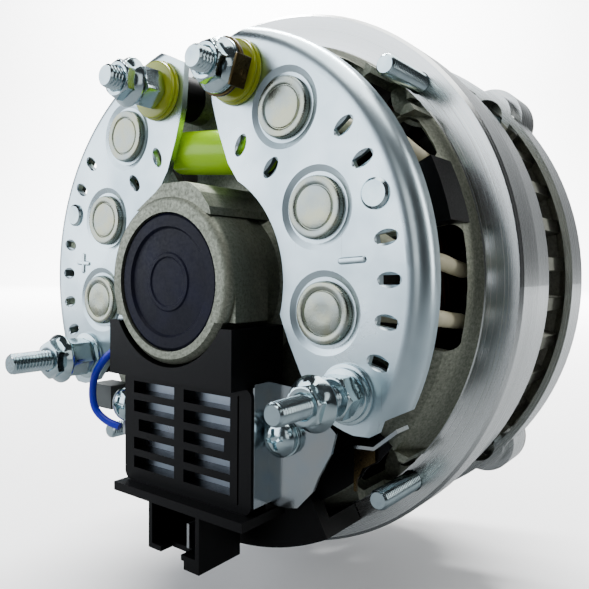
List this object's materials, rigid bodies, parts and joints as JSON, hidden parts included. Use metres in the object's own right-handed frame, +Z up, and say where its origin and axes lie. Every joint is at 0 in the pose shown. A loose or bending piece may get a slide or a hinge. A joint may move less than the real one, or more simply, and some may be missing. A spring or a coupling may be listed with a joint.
{
  "type": "engine alternator",
  "caption": "Round engine alternator with outside heat sink plates, rear brush and regulator unit, claw-pole rotor, fan and V-belt pulley.",
  "frame": {"origin": "on the shaft axis in the rear face of the machined flange, the centre of the four stud ends", "axes": "+Y along the shaft to the pulley, +Z up, +X right as seen from the rear"},
  "size_m": [0.1532, 0.1713, 0.1772],
  "materials": {
    "rear_casting": "cast skin, turned flange",
    "front_casting": "cast skin, turned rim",
    "laminations": "varnished stack of sheets",
    "winding": "enamelled copper wire, varnished",
    "sleeving": "varnished glass sleeving",
    "heat_sink_sheet": "satin stamped sheet",
    "diode_case": "knurled edge, dull nickel",
    "zinc": "bright blue zinc plate",
    "moulded_black": "fine grained moulding",
    "insulator_olive": "translucent nylon",
    "blade_brown": "darkened brass strip",
    "capacitor_lime": "glossy lacquered can",
    "cap_navy": "smooth moulded cap",
    "bearing_steel": "ground bearing steel",
    "cover_black": "fine grained moulding",
    "heat_plate_bright": "brushed sheet",
    "tinned_brass": "tin plated",
    "sheet_bright": "bright plated sheet",
    "blue_sheath": "smooth sheathed wire",
    "grey_moulding": "plain moulding",
    "carbon": "pressed graphite",
    "spring_wire": "drawn spring wire",
    "rotor_steel": "forged steel, varnished",
    "shaft_steel": "ground steel",
    "field_winding": "enamelled wire under tape",
    "slip_copper": "turned copper",
    "brown_moulding": "phenolic moulding",
    "fan_steel": "satin black paint",
    "pulley_steel": "turned, phosphated"
  },
  "bodies": {
    "housing": {"rear_bracket": "rear_casting", "front_bracket": "front_casting", "front_spokes": "front_casting", "front_hub": "front_casting", "mounting_lugs": "front_casting", "stator_core": "laminations", "stator_winding": "winding", "lead_sleeves": "sleeving", "heat_sink_right": "heat_sink_sheet", "heat_sink_left": "heat_sink_sheet", "diodes_right": "diode_case", "diodes_left": "diode_case", "plate_rivets": "zinc", "insulating_bushes": "moulded_black", "insulating_washers": "insulator_olive", "terminal_studs": "zinc", "terminal_washers": "zinc", "terminal_nuts": "zinc", "terminal_flange_nuts": "zinc", "blade_tab": "blade_brown", "capacitor": "capacitor_lime", "capacitor_clip": "sheet_bright", "hub_cap": "cap_navy", "rear_bearing_outer": "bearing_steel", "front_bearing_outer": "bearing_steel", "bearing_retainer": "bearing_steel", "retainer_screws": "zinc", "through_bolts": "zinc", "brush_holder": "moulded_black", "regulator_cover": "cover_black", "regulator_plate": "heat_plate_bright", "connector_blade": "tinned_brass", "regulator_screws": "zinc", "side_bracket": "sheet_bright", "earth_lead": "blue_sheath", "earth_lug": "tinned_brass", "side_tab": "grey_moulding", "lower_shroud": "moulded_black", "spring_clip": "sheet_bright", "contact_leaf": "blade_brown", "phase_block": "moulded_black", "brush_spring_rear": "spring_wire", "brush_spring_front": "spring_wire"},
    "rotor": {"shaft": "shaft_steel", "claw_pole_rear": "rotor_steel", "claw_pole_front": "rotor_steel", "field_coil": "field_winding", "slip_rings": "slip_copper", "slip_ring_core": "brown_moulding", "rear_bearing_inner": "bearing_steel", "front_bearing_inner": "bearing_steel", "fan": "fan_steel", "fan_spacer": "shaft_steel", "pulley": "pulley_steel", "pulley_washer": "zinc", "pulley_nut": "zinc"},
    "rear_ball_set": {"rear_bearing_balls": "bearing_steel"},
    "front_ball_set": {"front_bearing_balls": "bearing_steel"},
    "rear_brush": {"brush_rear": "carbon"},
    "front_brush": {"brush_front": "carbon"}
  },
  "joints": [
    {"name": "rotor_spin", "type": "hinge", "parent": "housing", "child": "rotor", "pos_m": [0, 0, 0], "axis": [0, 1, 0], "continuous": true},
    {"name": "rear_balls_roll", "type": "hinge", "parent": "housing", "child": "rear_ball_set", "pos_m": [0, 0, 0], "axis": [0, 1, 0], "continuous": true},
    {"name": "front_balls_roll", "type": "hinge", "parent": "housing", "child": "front_ball_set", "pos_m": [0, 0, 0], "axis": [0, 1, 0], "continuous": true},
    {"name": "rear_brush_slide", "type": "slide", "parent": "housing", "child": "rear_brush", "axis": [0, 0, -1], "range_m": [0, 0.006], "stiffness_N_per_m": 250, "springref_m": -0.008, "deforming": ["brush_spring_rear"]},
    {"name": "front_brush_slide", "type": "slide", "parent": "housing", "child": "front_brush", "axis": [0, 0, -1], "range_m": [0, 0.006], "stiffness_N_per_m": 250, "springref_m": -0.008, "deforming": ["brush_spring_front"]}
  ],
  "couplings": [
    {"joint": "rear_balls_roll", "follows": "rotor_spin", "ratio": 0.3808},
    {"joint": "front_balls_roll", "follows": "rotor_spin", "ratio": 0.3636}
  ]
}
